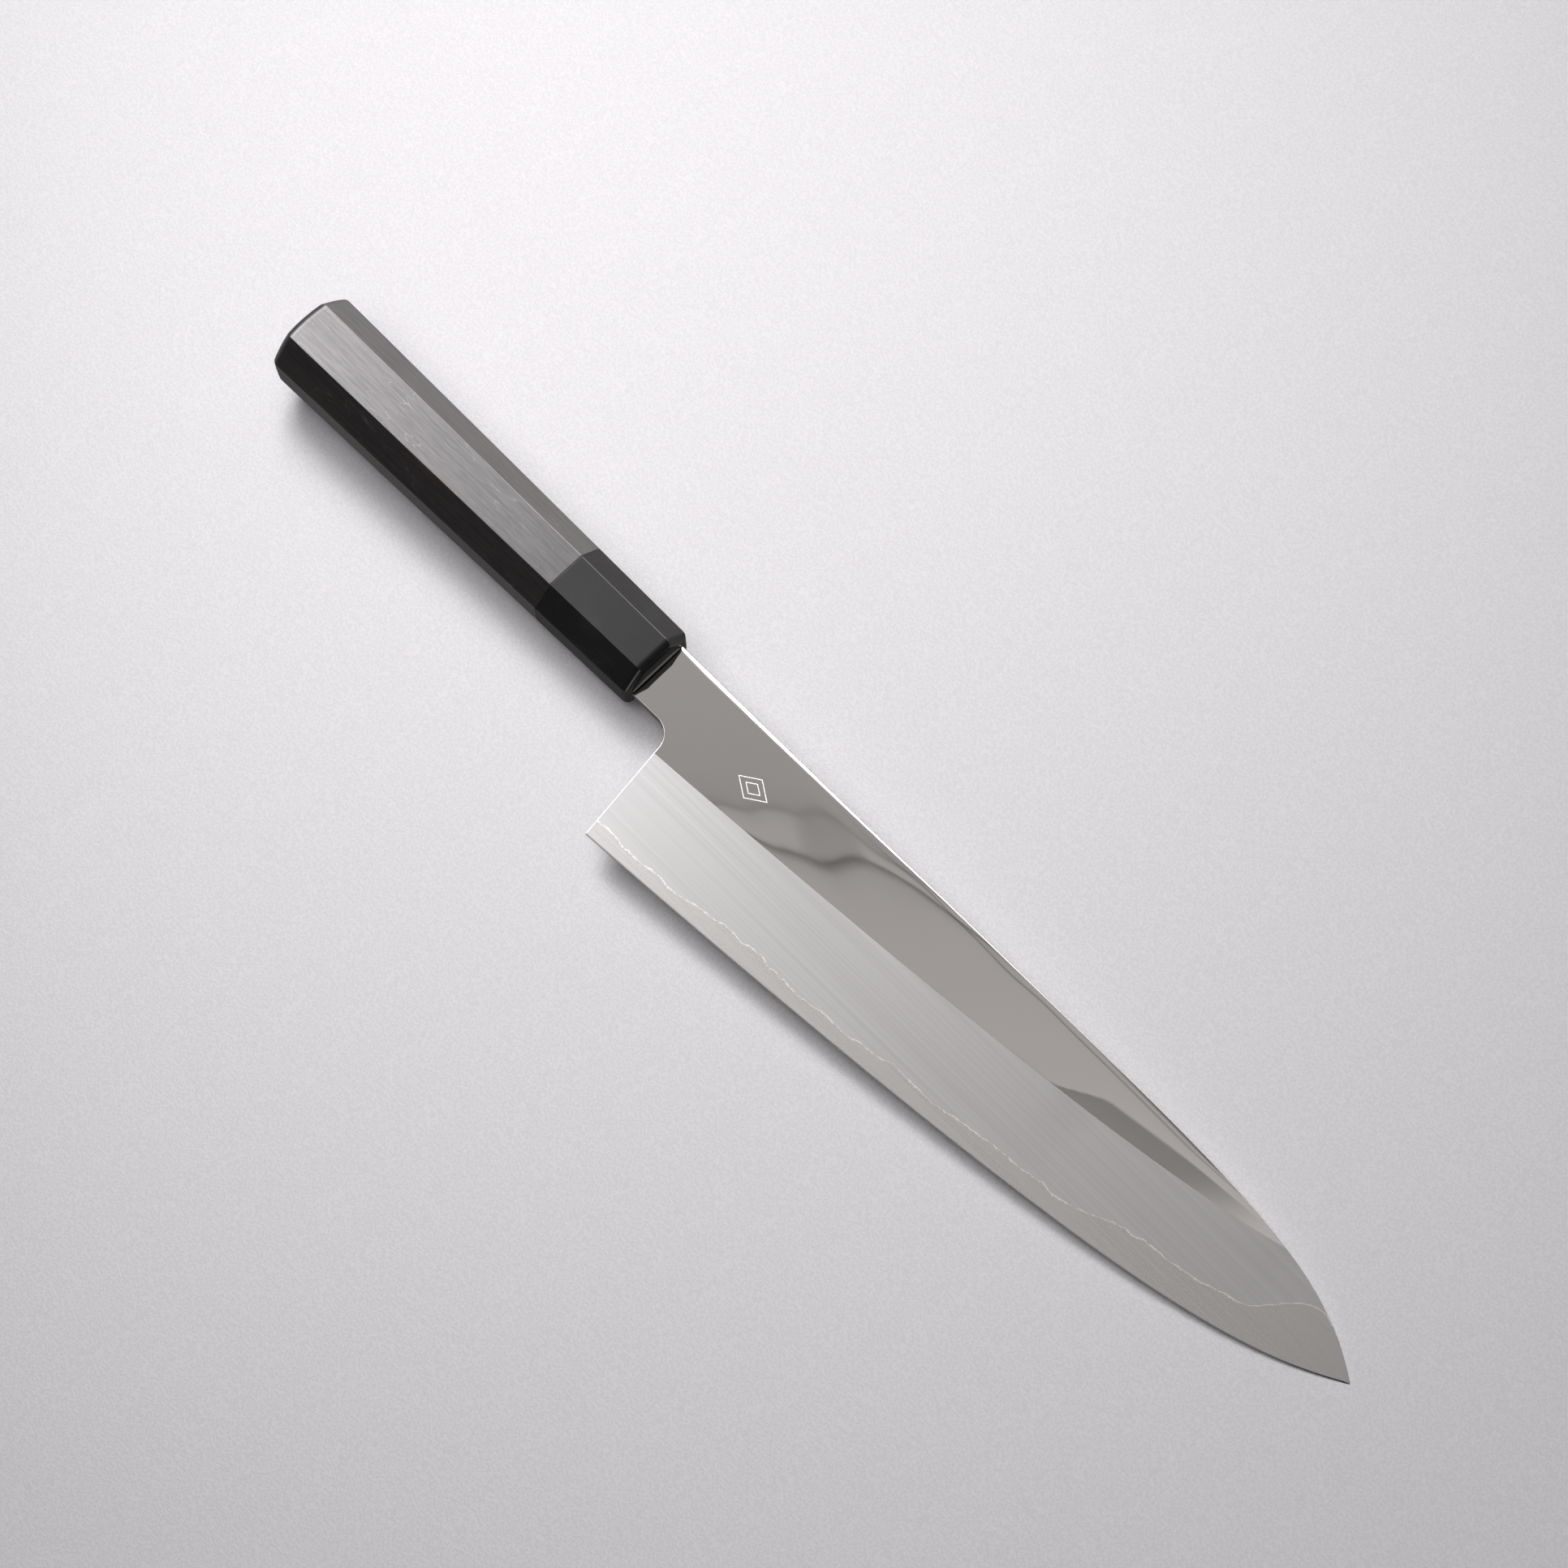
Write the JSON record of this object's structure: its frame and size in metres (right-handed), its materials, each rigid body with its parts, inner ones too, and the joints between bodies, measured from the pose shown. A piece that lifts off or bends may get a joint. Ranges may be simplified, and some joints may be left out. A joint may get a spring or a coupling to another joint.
{
  "type": "chef knife",
  "caption": "Gyuto chef knife with a three-layer blade, mirror-polished flats, hazy ground bevels, and a tapered octagonal dark wood handle with a black horn ferrule.",
  "frame": {"origin": "below the middle of the knife's bounding box, on the plane that the widest part of the handle lies on", "axes": "+X from the butt to the tip, +Y from the cutting edge to the spine, +Z square to the blade, out of its right face; the knife lies on its left side"},
  "size_m": [0.3943, 0.0583, 0.0237],
  "materials": {
    "core_steel": "hazy, ground along the edge, with a fine polished micro-bevel",
    "cladding_steel": "mirror polish on the flats, spine and choil; hazy brushed bevel",
    "dark_wood": "satin, with fine lengthwise grain and sanding marks",
    "horn": "polished, black, faintly mottled",
    "dowel_wood": "bare, sawn",
    "glue": "set epoxy, dark"
  },
  "bodies": {
    "root": {"blade_core": "core_steel", "cladding_right": "cladding_steel", "cladding_left": "cladding_steel", "handle_body": "dark_wood", "ferrule": "horn", "joint_glue": "glue", "tang_dowel": "dowel_wood", "tang_adhesive": "glue"}
  },
  "joints": []
}
